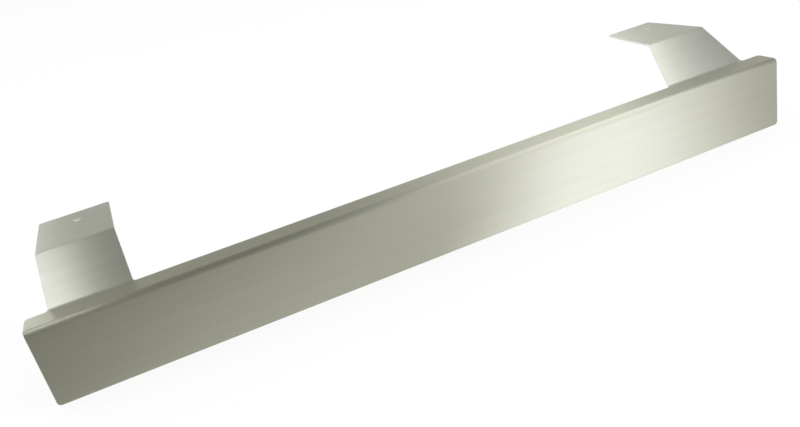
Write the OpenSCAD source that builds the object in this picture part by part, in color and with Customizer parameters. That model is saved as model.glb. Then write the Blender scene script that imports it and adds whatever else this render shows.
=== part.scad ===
// Door handle of a refrigerator, folded from one stainless sheet.
// A tall front plate hangs from a narrow top strip. Two tabs leave the strip's rear edge,
// rise behind the plate and fold level into flanges, each with one screw hole.
// The origin is midway between the two screw holes, on the underside of the flanges.
// +X runs along the bar to the right, +Y points back from the plate and +Z is up.

/* [Sheet] */
// Thickness of the sheet
sheet_t = 1.5; // [1:0.1:2]

/* [Bar] */
// Length of the bar
bar_l = 500; // [400:5:700]
// Height of the front plate
plate_h = 48; // [30:1:80]
// Depth of the top strip, from the front face to its rear edge
strip_d = 16.5; // [12:0.5:30]
// Inside radius of the fold between plate and strip
plate_fold_r = 1.5; // [0.5:0.1:4]
// Radius of the plate's lower corners
plate_corner_r = 2.5; // [0.5:0.5:6]
// Radius of the strip's rear corners
strip_corner_r = 2.5; // [0.5:0.5:4]

/* [Both tabs] */
// How far behind the strip's rear edge the foot of a riser starts to fold
foot_set = 0.5; // [0.2:0.1:2]
// Length of the sloping riser between its folds
riser_l = 36.5; // [25:0.5:60]
// Slope of the riser above the level strip, in degrees
riser_a = 34.5; // [20:0.5:50]
// Length of the level flange behind its fold
flange_l = 50; // [40:1:80]
// Inside radius of the fold at the foot of the riser
foot_fold_r = 3; // [1:0.1:5]
// Inside radius of the fold between riser and flange
flange_fold_r = 0.6; // [0.3:0.1:3]
// Fillet where a tab's side meets the strip
tab_fillet_r = 2.5; // [0.5:0.5:4]
// Radius of a flange's rear corners
flange_corner_r = 1.5; // [0.5:0.5:4]

/* [Left tab] */
// Inset of the tab's outer side from the bar's end
left_in = 12.5; // [10:0.5:30]
// How far the outer side has leaned inwards at the rear edge
left_lean = 0.5; // [-2:0.5:14]
// Width along the foot
left_foot_w = 46.5; // [45:0.5:75]
// Width along the flange fold
left_fold_w = 45; // [42:0.5:60]
// Width along the rear edge
left_rear_w = 43.5; // [36:0.5:55]

/* [Right tab] */
// Inset of the tab's outer side from the bar's end
right_in = 14; // [10:0.5:30]
// How far the outer side has leaned inwards at the rear edge
right_lean = 12; // [-2:0.5:14]
// Width along the foot
right_foot_w = 62.5; // [45:0.5:75]
// Width along the flange fold
right_fold_w = 46.5; // [42:0.5:60]
// Width along the rear edge
right_rear_w = 37; // [36:0.5:55]

/* [Screw holes] */
// Diameter of a screw hole
hole_d = 4.8; // [3:0.1:6.5]
// Distance of the hole centres from the flanges' rear edge
hole_back = 15; // [8:0.5:20]
// Distance of the left hole from the outer end of its tab's foot
left_hole_in = 24; // [22:0.5:30]
// Distance of the right hole from the outer end of its tab's foot
right_hole_in = 25.5; // [22:0.5:30]

/* [Hidden] */
$fn = 64;

steel_colour = [0.68, 0.68, 0.63];
// How far a cutting shape reaches past the sheet
past = 5;
// Straight steps in a rounded corner of an outline
corner_steps = 12;

// Radii of the upper side of the two outward folds
plate_outer_r = plate_fold_r + sheet_t;
crest_outer_r = flange_fold_r + sheet_t;

// Places along Y and Z of the upper side, measured from the front face and the strip's top.
// At the foot and the crest they are where the flat stretches on both sides would meet.
foot_y = strip_d + foot_set + foot_fold_r * tan(riser_a / 2);
flange_y = strip_d + foot_set + (foot_fold_r + crest_outer_r) * sin(riser_a) + riser_l * cos(riser_a);
flange_z = (foot_fold_r + crest_outer_r) * (1 - cos(riser_a)) + riser_l * sin(riser_a);
crest_y = flange_y - crest_outer_r * tan(riser_a / 2);
rear_y = flange_y + flange_l;
hole_y = rear_y - hole_back;

// Places of the screw holes along the bar, measured from its middle
left_hole_x = -bar_l / 2 + left_in + left_hole_in;
right_hole_x = bar_l / 2 - right_in - right_hole_in;
origin = [(left_hole_x + right_hole_x) / 2, hole_y, flange_z - sheet_t];

function unit(v) = v / norm(v);
function turned(v, a) = [v[0] * cos(a) - v[1] * sin(a), v[0] * sin(a) + v[1] * cos(a)];

// One corner of an outline drawn anticlockwise, rounded by an arc that touches both its sides
function side_before(pts, i) = unit(pts[(i + len(pts) - 1) % len(pts)] - pts[i]);
function side_after(pts, i) = unit(pts[(i + 1) % len(pts)] - pts[i]);
function half_angle(pts, i) = acos(side_before(pts, i) * side_after(pts, i)) / 2;
function turn_sign(pts, i) = sign(cross(side_after(pts, i), side_before(pts, i)));
function arc_centre(pts, i, r) =
    pts[i] + unit(side_before(pts, i) + side_after(pts, i)) * r / sin(half_angle(pts, i));
function arc_start(pts, i, r) = pts[i] + side_before(pts, i) * r / tan(half_angle(pts, i));
function arc_points(centre, start, sweep) =
    [for (k = [0 : corner_steps]) centre + turned(start - centre, sweep * k / corner_steps)];

// An outline with each corner rounded by its own radius, where 0 leaves the corner sharp
function rounded(pts, radii) = [
    for (i = [0 : len(pts) - 1])
        each radii[i] == 0
            ? [pts[i]]
            : arc_points(
                arc_centre(pts, i, radii[i]),
                arc_start(pts, i, radii[i]),
                turn_sign(pts, i) * (180 - 2 * half_angle(pts, i))
            )
];

// The section across the bar, with +X to the rear and +Y up: plate, strip, riser and flange.
// It runs along the underside to the rear and back along the upper side.
module section() {
    low = -plate_h - past;
    rear = rear_y + past;
    foot = [foot_y, 0];
    crest = [crest_y, flange_z];
    under = [sheet_t * tan(riser_a / 2), -sheet_t];
    polygon(rounded(
        [
            [0, low], [sheet_t, low], [sheet_t, -sheet_t], foot + under, crest + under,
            [rear, flange_z - sheet_t], [rear, flange_z], crest, foot, [0, 0]
        ],
        [
            0, 0, plate_fold_r, foot_fold_r + sheet_t, flange_fold_r,
            0, 0, crest_outer_r, foot_fold_r, plate_outer_r
        ]
    ));
}

// Share of a tab's depth at its flange fold
fold_share = (crest_y - strip_d) / (rear_y - strip_d);

// A tab's corners seen from above, as distances from the bar's end, outer side first
function tab_corners(in, lean, foot_w, fold_w, rear_w) = [
    [in, strip_d],
    [in + lean, rear_y],
    [in + lean + rear_w, rear_y],
    [in + lean * fold_share + fold_w, crest_y],
    [in + foot_w, strip_d]
];
tab_radii = [tab_fillet_r, flange_corner_r, flange_corner_r, 0, tab_fillet_r];

left_tab = tab_corners(left_in, left_lean, left_foot_w, left_fold_w, left_rear_w);
right_tab = tab_corners(right_in, right_lean, right_foot_w, right_fold_w, right_rear_w);

// The handle seen from above: the strip and both tabs
module plan() {
    end_x = bar_l / 2;
    right_side = [for (p = right_tab) [end_x - p[0], p[1]]];
    left_side = [for (i = [len(left_tab) - 1 : -1 : 0]) [left_tab[i][0] - end_x, left_tab[i][1]]];
    left_radii = [for (i = [len(tab_radii) - 1 : -1 : 0]) tab_radii[i]];
    polygon(rounded(
        concat([[-end_x, -past], [end_x, -past], [end_x, strip_d]], right_side, left_side, [[-end_x, strip_d]]),
        concat([0, 0, strip_corner_r], tab_radii, left_radii, [strip_corner_r])
    ));
}

// The handle seen from the front, with the plate's lower corners rounded
module front_view() {
    end_x = bar_l / 2;
    polygon(rounded(
        [[-end_x, -plate_h], [end_x, -plate_h], [end_x, flange_z + past], [-end_x, flange_z + past]],
        [plate_corner_r, plate_corner_r, 0, 0]
    ));
}

module folded_handle() {
    color(steel_colour)
        translate(-origin)
            difference() {
                intersection() {
                    translate([-bar_l / 2 - past, 0, 0])
                        rotate([90, 0, 90])
                            linear_extrude(bar_l + 2 * past) section();
                    translate([0, 0, -plate_h - past])
                        linear_extrude(plate_h + flange_z + 2 * past) plan();
                    translate([0, rear_y + past, 0])
                        rotate([90, 0, 0])
                            linear_extrude(rear_y + 2 * past) front_view();
                }
                for (x = [left_hole_x, right_hole_x])
                    translate([x, hole_y, flange_z - sheet_t - past])
                        cylinder(d = hole_d, h = sheet_t + 2 * past);
            }
}

folded_handle();
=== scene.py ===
from math import degrees, radians

import bmesh
import bpy
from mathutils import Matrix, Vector


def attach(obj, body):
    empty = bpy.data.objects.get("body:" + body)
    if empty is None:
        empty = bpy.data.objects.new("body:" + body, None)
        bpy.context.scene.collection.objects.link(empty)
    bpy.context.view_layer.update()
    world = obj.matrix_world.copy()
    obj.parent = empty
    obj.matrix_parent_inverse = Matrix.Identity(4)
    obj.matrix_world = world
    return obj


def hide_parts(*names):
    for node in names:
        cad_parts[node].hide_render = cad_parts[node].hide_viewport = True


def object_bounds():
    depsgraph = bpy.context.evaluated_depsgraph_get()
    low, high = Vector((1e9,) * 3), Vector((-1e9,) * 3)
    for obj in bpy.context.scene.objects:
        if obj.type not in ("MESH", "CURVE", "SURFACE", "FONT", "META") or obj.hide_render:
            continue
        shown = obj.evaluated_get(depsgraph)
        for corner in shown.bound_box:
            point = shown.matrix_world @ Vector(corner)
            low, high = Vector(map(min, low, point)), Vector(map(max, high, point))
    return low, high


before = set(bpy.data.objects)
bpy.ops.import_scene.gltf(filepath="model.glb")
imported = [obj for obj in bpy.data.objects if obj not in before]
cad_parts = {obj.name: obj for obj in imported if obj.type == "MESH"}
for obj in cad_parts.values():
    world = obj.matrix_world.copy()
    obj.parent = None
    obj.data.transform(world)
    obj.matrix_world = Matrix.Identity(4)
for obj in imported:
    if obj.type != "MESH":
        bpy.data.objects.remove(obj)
cadLow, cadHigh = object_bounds()

# View of the handle from above and a little to the left of its middle
photoCamera = {
    "sensor": 36,  # mm
    "lens": 34.793,  # mm
    "clip": (0.01, 50),
    "place": (-0.15392, -0.48516, 0.15946),
    "turn": (1.13272, 0.21244, -0.38635),
}


def addObject(name, data):
    made = bpy.data.objects.new(name, data)
    bpy.context.scene.collection.objects.link(made)
    return made


def makeCamera(spec):
    data = bpy.data.cameras.new("photoCamera")
    data.sensor_width = spec["sensor"]
    data.lens = spec["lens"]
    data.clip_start, data.clip_end = spec["clip"]
    camera = addObject("photoCamera", data)
    camera.location = spec["place"]
    camera.rotation_euler = spec["turn"]
    bpy.context.scene.camera = camera
    print("camera placed")


makeCamera(photoCamera)

# Sheet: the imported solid's own shape, with its sheared rims deburred
sheet = {
    "mergeGap": 2e-6,  # m
    "flatAngle": 0.2,  # degrees, under which neighbouring faces are one flat
    "rimAngle": 50,  # degrees, over which an edge is a sheared rim
    "deburr": 0.00022,  # m, how far the broken rim reaches
    "deburrSteps": 2,
    "normalWeight": 100,
}


def patchesBetween(bm, rims):
    rimSet, left, patches = set(rims), set(bm.faces), []
    while left:
        patch, front = set(), [left.pop()]
        while front:
            face = front.pop()
            patch.add(face)
            for edge in face.edges:
                if edge in rimSet:
                    continue
                for near in edge.link_faces:
                    if near in left:
                        left.remove(near)
                        front.append(near)
        patches.append(patch)
    return sorted(patches, key=lambda patch: -sum(face.calc_area() for face in patch))


def makeSheet(spec):
    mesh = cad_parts["folded_handle"].data.copy()
    mesh.name = "folded_sheet"
    mesh.materials.clear()
    bm = bmesh.new()
    bm.from_mesh(mesh)
    bmesh.ops.remove_doubles(bm, verts=bm.verts, dist=spec["mergeGap"])
    bmesh.ops.dissolve_limit(
        bm, angle_limit=radians(spec["flatAngle"]), verts=bm.verts, edges=bm.edges,
        use_dissolve_boundaries=False
    )
    rimAngle = radians(spec["rimAngle"])
    rims = [e for e in bm.edges if len(e.link_faces) == 2 and e.calc_face_angle(0) > rimAngle]

    # The two largest patches are the sheet's sides, and all the others its cut edges
    patches = patchesBetween(bm, rims)
    for order, patch in enumerate(patches):
        for face in patch:
            face.material_index = 0 if order < 2 else 1
    broken = bmesh.ops.bevel(
        bm, geom=rims, offset=spec["deburr"], segments=spec["deburrSteps"], profile=0.5,
        affect="EDGES", material=-1, clamp_overlap=False
    )
    for face in broken["faces"]:
        face.material_index = 1
    bmesh.ops.triangulate(bm, faces=[f for f in bm.faces if len(f.verts) > 4])
    for face in bm.faces:
        face.smooth = True
    bm.to_mesh(mesh)
    bm.free()

    piece = addObject("folded_sheet", mesh)
    flatNormals = piece.modifiers.new("flatNormals", "WEIGHTED_NORMAL")
    flatNormals.weight = spec["normalWeight"]
    flatNormals.keep_sharp = False
    print("sheet made,", len(mesh.polygons), "faces,", len(rims), "rim edges,", len(patches), "patches")
    return piece


# Brushed stainless steel, with its grain along the bar
steel = {
    "plateTone": (0.495, 0.500, 0.446),  # plate and strip
    "litTabTone": (0.636, 0.648, 0.630),  # tabs: a lighter, less olive tone that is painted light, the sheen of the light from above
    "litTabsFrom": (-0.0700, -0.0660),  # m along Y, where the tabs' painted lighter tone begins behind the strip
    "roughness": (0.330, 0.364),
    "anisotropy": 0.905,
    "tangent": (0.999, 0.03, 0.03),
    "turn": 0.25,  # share of a full turn from the tangent to the stretch of the highlights
    "hairline": {"scale": (26, 3600, 3600), "detail": 2},  # repeats per metre
    "streak": {"scale": (5, 300, 300), "detail": 3},
    "cloud": {"scale": (9, 16, 16), "detail": 2},
    "grainContrast": 0.10,
    "hairlineShare": 0.8,
    "streakShare": 1.2,
    "hairlineDepth": 0.000004,  # m
    "foldDepth": (-0.0812, -0.0824),  # m along Y, over which the fold's haze sets in
    "foldHeight": (-0.0242, -0.0228),  # m along Z
    "foldHaze": 0.07,  # roughness added where the bend has dulled the finish
}
# Sheared edges round the sheet and in the holes: their bare finish, in a lighter tone that is partly a
# painted highlight of their lit rims
cutEdge = {
    "tone": (0.80, 0.81, 0.77),
    "roughness": 0.45,
    "ripple": {"scale": (1800, 1800, 1800), "detail": 1},
    "rippleDepth": 0.000003,  # m
    "shade": (0.95, 1.03),
}
noiseSpan = (0.3, 0.7)  # holds most of a noise texture's values


def link(tree, a, b):
    tree.links.new(a, b)


def mathNode(tree, operation, a, b=None, c=None):
    node = tree.nodes.new("ShaderNodeMath")
    node.operation = operation
    for socket, value in zip(node.inputs, (a, b, c)):
        if isinstance(value, (int, float)):
            socket.default_value = value
        elif value is not None:
            link(tree, value, socket)
    return node.outputs[0]


def mapRange(tree, value, low, high, toLow=0.0, toHigh=1.0, way="SMOOTHSTEP"):
    node = tree.nodes.new("ShaderNodeMapRange")
    node.interpolation_type = way
    for name, number in (("From Min", low), ("From Max", high), ("To Min", toLow), ("To Max", toHigh)):
        node.inputs[name].default_value = number
    link(tree, value, node.inputs["Value"])
    return node.outputs[0]


def noiseNode(tree, coords, pattern):
    mapping = tree.nodes.new("ShaderNodeMapping")
    mapping.inputs["Scale"].default_value = pattern["scale"]
    noise = tree.nodes.new("ShaderNodeTexNoise")
    noise.inputs["Scale"].default_value = 1
    noise.inputs["Detail"].default_value = pattern["detail"]
    link(tree, coords, mapping.inputs["Vector"])
    link(tree, mapping.outputs["Vector"], noise.inputs["Vector"])
    return noise.outputs["Fac"]


def mixColour(tree, factor, a, b, way="MIX"):
    node = tree.nodes.new("ShaderNodeMix")
    node.data_type = "RGBA"
    node.blend_type = way
    for socket, value in zip((node.inputs[0], node.inputs[6], node.inputs[7]), (factor, a, b)):
        if isinstance(value, tuple):
            socket.default_value = (*value, 1)
        elif isinstance(value, (int, float)):
            socket.default_value = value
        else:
            link(tree, value, socket)
    return node.outputs[2]


def shadedTone(tree, tone, shade):
    grey = tree.nodes.new("ShaderNodeCombineColor")
    for socket in grey.inputs:
        link(tree, shade, socket)
    return mixColour(tree, 1.0, tone, grey.outputs[0], "MULTIPLY")


def bumpNode(tree, height, depth):
    bump = tree.nodes.new("ShaderNodeBump")
    bump.inputs["Strength"].default_value = 1
    bump.inputs["Distance"].default_value = depth
    link(tree, height, bump.inputs["Height"])
    return bump.outputs["Normal"]


def newMaterial(name):
    material = bpy.data.materials.new(name)
    material.use_nodes = True
    return material, material.node_tree


def objectCoords(tree):
    return tree.nodes.new("ShaderNodeTexCoord").outputs["Object"]


def axesOf(tree, coords):
    place = tree.nodes.new("ShaderNodeSeparateXYZ")
    link(tree, coords, place.inputs[0])
    return place.outputs


def brushedSteel(spec):
    material, tree = newMaterial("brushedSteel")
    shader = tree.nodes["Principled BSDF"]
    shader.inputs["Metallic"].default_value = 1
    shader.inputs["Anisotropic"].default_value = spec["anisotropy"]
    shader.inputs["Anisotropic Rotation"].default_value = spec["turn"]
    coords = objectCoords(tree)
    place = axesOf(tree, coords)
    hairline = noiseNode(tree, coords, spec["hairline"])
    streak = noiseNode(tree, coords, spec["streak"])
    cloud = noiseNode(tree, coords, spec["cloud"])

    # Hairlines and streaks lighten and darken the tone by a few parts in a hundred
    # Behind the strip the tone turns to the tabs' lighter one, which is painted light from above
    litTabs = mapRange(tree, place["Y"], *spec["litTabsFrom"])
    tone = mixColour(tree, litTabs, spec["plateTone"], spec["litTabTone"])
    fine = mathNode(tree, "MULTIPLY", hairline, spec["hairlineShare"])
    grain = mathNode(tree, "MULTIPLY_ADD", streak, spec["streakShare"], fine)
    contrast = spec["grainContrast"]
    shade = mathNode(tree, "MULTIPLY_ADD", grain, contrast, 1 - contrast)
    link(tree, shadedTone(tree, tone, shade), shader.inputs["Base Color"])
    link(tree, bumpNode(tree, hairline, spec["hairlineDepth"]), shader.inputs["Normal"])

    # The bend has dulled the finish on the fold between plate and strip
    inFront = mapRange(tree, place["Y"], *spec["foldDepth"])
    above = mapRange(tree, place["Z"], *spec["foldHeight"])
    onFold = mathNode(tree, "MULTIPLY", inFront, above)
    roughness = mapRange(tree, cloud, *noiseSpan, *spec["roughness"], "LINEAR")
    hazy = mathNode(tree, "MULTIPLY_ADD", onFold, spec["foldHaze"], roughness)
    link(tree, hazy, shader.inputs["Roughness"])

    # The highlights stretch across the grain
    tangent = tree.nodes.new("ShaderNodeCombineXYZ")
    for socket, share in zip(tangent.inputs, spec["tangent"]):
        socket.default_value = share
    link(tree, tangent.outputs[0], shader.inputs["Tangent"])
    return material


def shearedEdge(spec):
    material, tree = newMaterial("shearedEdge")
    shader = tree.nodes["Principled BSDF"]
    shader.inputs["Metallic"].default_value = 1
    shader.inputs["Roughness"].default_value = spec["roughness"]
    ripple = noiseNode(tree, objectCoords(tree), spec["ripple"])
    shade = mapRange(tree, ripple, *noiseSpan, *spec["shade"], "LINEAR")
    # The light edge tone is partly the bare sheared finish and partly a painted highlight
    link(tree, shadedTone(tree, spec["tone"], shade), shader.inputs["Base Color"])
    link(tree, bumpNode(tree, ripple, spec["rippleDepth"]), shader.inputs["Normal"])
    return material


piece = makeSheet(sheet)
piece.data.materials.append(brushedSteel(steel))
piece.data.materials.append(shearedEdge(cutEdge))
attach(piece, "root")
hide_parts("folded_handle")
print("steel brushed")

# White studio: the camera and the metal see a white background, everything else a plain level
studio = {
    "plainLevel": 0.9,
    "floorSize": 40,  # m
    "floorGap": 0.0003,  # m under the handle
    "floorTone": (0.95, 0.95, 0.95),
    "floorRoughness": 0.9,
    "floorWhite": 0.85,  # share of plain white in what the camera sees of the floor
}


def whiteWhereSeen(tree):
    rays = tree.nodes.new("ShaderNodeLightPath").outputs
    seen = mathNode(tree, "MAXIMUM", rays["Is Camera Ray"], rays["Is Glossy Ray"])
    return mathNode(tree, "MAXIMUM", seen, rays["Is Transmission Ray"])


def mixShaders(tree, factor, a, b, output):
    mix = tree.nodes.new("ShaderNodeMixShader")
    for socket, value in zip(mix.inputs, (factor, a, b)):
        link(tree, value, socket)
    link(tree, mix.outputs[0], tree.nodes[output].inputs[0])


def makeWorld(spec):
    world = bpy.data.worlds.new("whiteStudio")
    bpy.context.scene.world = world
    world.use_nodes = True
    tree = world.node_tree
    plain = tree.nodes["Background"]
    plain.inputs["Color"].default_value = (1, 1, 1, 1)
    plain.inputs["Strength"].default_value = spec["plainLevel"]
    white = tree.nodes.new("ShaderNodeBackground")
    white.inputs["Color"].default_value = (1, 1, 1, 1)
    white.inputs["Strength"].default_value = 1
    mixShaders(tree, whiteWhereSeen(tree), plain.outputs[0], white.outputs[0], "World Output")


def flatMesh(name, length, width, place):
    bm = bmesh.new()
    bmesh.ops.create_grid(bm, x_segments=1, y_segments=1, size=0.5)
    bmesh.ops.scale(bm, verts=bm.verts, vec=(length, width, 1))
    bmesh.ops.translate(bm, verts=bm.verts, vec=place)
    mesh = bpy.data.meshes.new(name)
    bm.to_mesh(mesh)
    bm.free()
    return mesh


def makeFloor(spec):
    size = spec["floorSize"]
    mesh = flatMesh("studioFloor", size, size, (0, 0, cadLow.z - spec["floorGap"]))
    material, tree = newMaterial("paleFloor")
    shader = tree.nodes["Principled BSDF"]
    shader.inputs["Base Color"].default_value = (*spec["floorTone"], 1)
    shader.inputs["Roughness"].default_value = spec["floorRoughness"]
    shader.inputs["Specular IOR Level"].default_value = 0
    white = tree.nodes.new("ShaderNodeEmission")
    white.inputs["Strength"].default_value = 1
    share = mathNode(tree, "MULTIPLY", whiteWhereSeen(tree), spec["floorWhite"])
    mixShaders(tree, share, shader.outputs[0], white.outputs[0], "Material Output")
    mesh.materials.append(material)
    addObject("studioFloor", mesh)


makeWorld(studio)
makeFloor(studio)
print("studio made")

# A light tent that only the metal sees: a half pipe of cloth over the handle, with softboxes
# behind it. A softbox has its span along the bar, its arc over the pipe from the floor in front
# (0 degrees) to the floor behind (180), how soft its ends and rim are, its level and blue share.
tent = {
    "radius": 0.5,
    "length": 4.0,
    "steps": 36,
    "cloth": {"front": (0.295, 0.86), "top": (0.309, 0.855), "back": (0.650, 0.88)},  # level, blue share
    "clothArcs": {"top": (26, 66), "back": (90, 138)},
    "softboxes": {
        "leftTop": {
            "span": (-0.450, -0.280), "ends": (0.100, 0.050),
            "arc": (72, 83), "rim": 12, "level": 5.80, "blue": 0.94,
        },
        "leftBack": {
            "span": (-0.550, -0.332), "ends": (0.100, 0.131),
            "arc": (152, 178), "rim": 14, "level": 3.94, "blue": 0.96,
        },
        "rightTop": {
            "span": (0.238, 0.484), "ends": (0.367, 0.058),
            "arc": (71, 91), "rim": 35, "level": 3.38, "blue": 0.83,
        },
        "rightBack": {
            "span": (0.204, 0.505), "ends": (0.399, 0.083),
            "arc": (69, 178), "rim": 49, "level": 0.45, "blue": 0.98,
        },
        "farRight": {
            "span": (0.730, 2.500), "ends": (0.120, 0.100),
            "arc": (40, 178), "rim": 20, "level": 0.20, "blue": 0.96,
        },
        "rightFront": {
            "span": (0.120, 0.570), "ends": (0.400, 0.135),
            "arc": (-30, 72), "rim": 30, "level": 1.28, "blue": 1.0,
        },
    },
}
# A card on the floor in front of the plate, which fills most of what the plate mirrors
frontCard = {
    "length": 4.0,
    "reach": 0.5,
    "nearGap": 0.0005,  # m in front of the plate
    "floorGap": 0.0001,  # m under the handle
    "cloth": (0.417, 0.85),  # level, blue share
    "slant": 0.756,  # how far the softboxes' ends lean along the bar for each metre towards the front
    "slantFrom": -0.135,
    "softboxes": {
        "middle": {"span": (-0.182, 3.0), "ends": (0.262, 0.1), "level": 0.423, "blue": 0.95},
        "right": {"span": (0.065, 0.223), "ends": (0.115, 0.145), "level": 1.064, "blue": 1.07},
    },
}


def softWindow(tree, value, span, rims):
    rise = mapRange(tree, value, span[0] - rims[0] / 2, span[0] + rims[0] / 2)
    fall = mapRange(tree, value, span[1] - rims[1] / 2, span[1] + rims[1] / 2)
    return mathNode(tree, "SUBTRACT", rise, fall)


# Adds a light's level to the two sums, one for red and green and one for blue
def addLight(tree, totals, amount, level, blue):
    shares = (level, level * blue)
    return [mathNode(tree, "MULTIPLY_ADD", amount, share, total) for share, total in zip(shares, totals)]


def clothMaterial(name):
    material, tree = newMaterial(name)
    tree.nodes.remove(tree.nodes["Principled BSDF"])
    return material, tree, axesOf(tree, objectCoords(tree))


def hangCloth(name, mesh, material, tree, totals):
    colour = tree.nodes.new("ShaderNodeCombineColor")
    for channel, total in zip(colour.inputs, (totals[0], totals[0], totals[1])):
        link(tree, total, channel)
    glow = tree.nodes.new("ShaderNodeEmission")
    link(tree, colour.outputs[0], glow.inputs["Color"])
    link(tree, glow.outputs[0], tree.nodes["Material Output"].inputs[0])
    mesh.materials.append(material)
    cloth = addObject(name, mesh)
    cloth.visible_camera = False
    cloth.visible_diffuse = False
    cloth.visible_transmission = False
    cloth.visible_volume_scatter = False
    cloth.visible_shadow = False
    print(name, "hung")


def makeTent(spec):
    bm = bmesh.new()
    half = spec["length"] / 2
    ends = [bm.verts.new((x, -spec["radius"], 0)) for x in (-half, half)]
    edge = bm.edges.new(ends)
    bmesh.ops.spin(
        bm, geom=[*ends, edge], cent=(0, 0, 0), axis=(-1, 0, 0), angle=radians(180), steps=spec["steps"]
    )
    bmesh.ops.translate(bm, verts=bm.verts, vec=(0, 0, cadLow.z))
    mesh = bpy.data.meshes.new("lightTent")
    bm.to_mesh(mesh)
    bm.free()

    material, tree, place = clothMaterial("tentCloth")
    height = mathNode(tree, "SUBTRACT", place["Z"], cadLow.z)
    forwards = mathNode(tree, "MULTIPLY", place["Y"], -1.0)
    turn = mathNode(tree, "ARCTAN2", height, forwards)
    arc = mathNode(tree, "MULTIPLY", turn, degrees(1.0))
    fromTop = mapRange(tree, arc, *spec["clothArcs"]["top"])
    fromBack = mapRange(tree, arc, *spec["clothArcs"]["back"])
    shares = {
        "front": mathNode(tree, "SUBTRACT", 1.0, fromTop),
        "top": mathNode(tree, "SUBTRACT", fromTop, fromBack),
        "back": fromBack,
    }
    totals = [0.0, 0.0]
    for part, (level, blue) in spec["cloth"].items():
        totals = addLight(tree, totals, shares[part], level, blue)
    for box in spec["softboxes"].values():
        along = softWindow(tree, place["X"], box["span"], box["ends"])
        over = softWindow(tree, arc, box["arc"], (box["rim"], box["rim"]))
        amount = mathNode(tree, "MULTIPLY", along, over)
        totals = addLight(tree, totals, amount, box["level"], box["blue"])
    hangCloth("lightTent", mesh, material, tree, totals)


def makeFrontCard(spec):
    middle = cadLow.y - spec["nearGap"] - spec["reach"] / 2
    mesh = flatMesh("frontCard", spec["length"], spec["reach"], (0, middle, cadLow.z - spec["floorGap"]))
    material, tree, place = clothMaterial("frontCardCloth")
    lean = mathNode(tree, "SUBTRACT", place["Y"], spec["slantFrom"])
    along = mathNode(tree, "MULTIPLY_ADD", lean, spec["slant"], place["X"])
    level, blue = spec["cloth"]
    totals = [level, level * blue]
    for box in spec["softboxes"].values():
        amount = softWindow(tree, along, box["span"], box["ends"])
        totals = addLight(tree, totals, amount, box["level"], box["blue"])
    hangCloth("frontCard", mesh, material, tree, totals)


makeTent(tent)
makeFrontCard(frontCard)

# Soft lamps for everything that isn't metal, which cast the faint shadow on the floor
lamps = {
    "rightKey": {"place": (1.1, -0.9, 1.3), "aim": (0.1, 0, 0), "size": (0.5, 1.2), "watts": 7},
    "leftTop": {"place": (-0.9, 0.5, 1.5), "aim": (-0.2, 0, 0), "size": (0.5, 1.0), "watts": 4},
}


def makeLamps(specs):
    for name, spec in specs.items():
        data = bpy.data.lights.new(name, "AREA")
        data.shape = "RECTANGLE"
        data.size, data.size_y = spec["size"]
        data.energy = spec["watts"]
        lamp = addObject(name, data)
        lamp.location = spec["place"]
        towards = Vector(spec["aim"]) - Vector(spec["place"])
        lamp.rotation_euler = towards.to_track_quat("-Z", "Y").to_euler()
        lamp.visible_glossy = False
    print("lamps placed:", len(specs))


makeLamps(lamps)

bpy.context.scene.view_settings.view_transform = "Standard"

print("finished")
